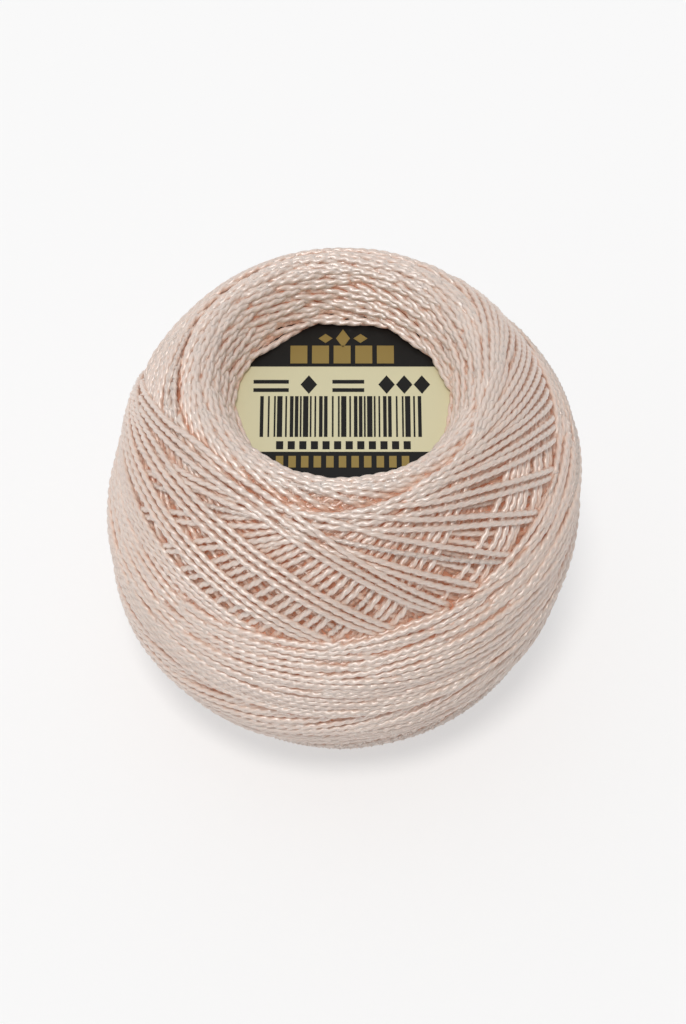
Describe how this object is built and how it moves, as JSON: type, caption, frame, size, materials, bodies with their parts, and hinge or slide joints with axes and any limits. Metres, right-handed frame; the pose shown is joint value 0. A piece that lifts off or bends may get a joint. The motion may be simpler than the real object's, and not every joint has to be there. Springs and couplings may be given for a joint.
{
  "type": "ball of pearl cotton thread",
  "caption": "Ball of twisted pearl cotton wound around a funnel-shaped hole, with a round paper label lying at the bottom of the hole.",
  "frame": {"origin": "centre of the flat ring that the ball rests on, on its axis", "axes": "+Z along the axis of the hole, up out of the end that has the label; -Y is the front"},
  "size_m": [0.0427, 0.0426, 0.0372],
  "materials": {
    "thread": "mercerised two-ply cotton, soft sheen",
    "label_paper": null
  },
  "bodies": {
    "root": {"wound_thread": "thread", "label": "label_paper"}
  },
  "joints": []
}
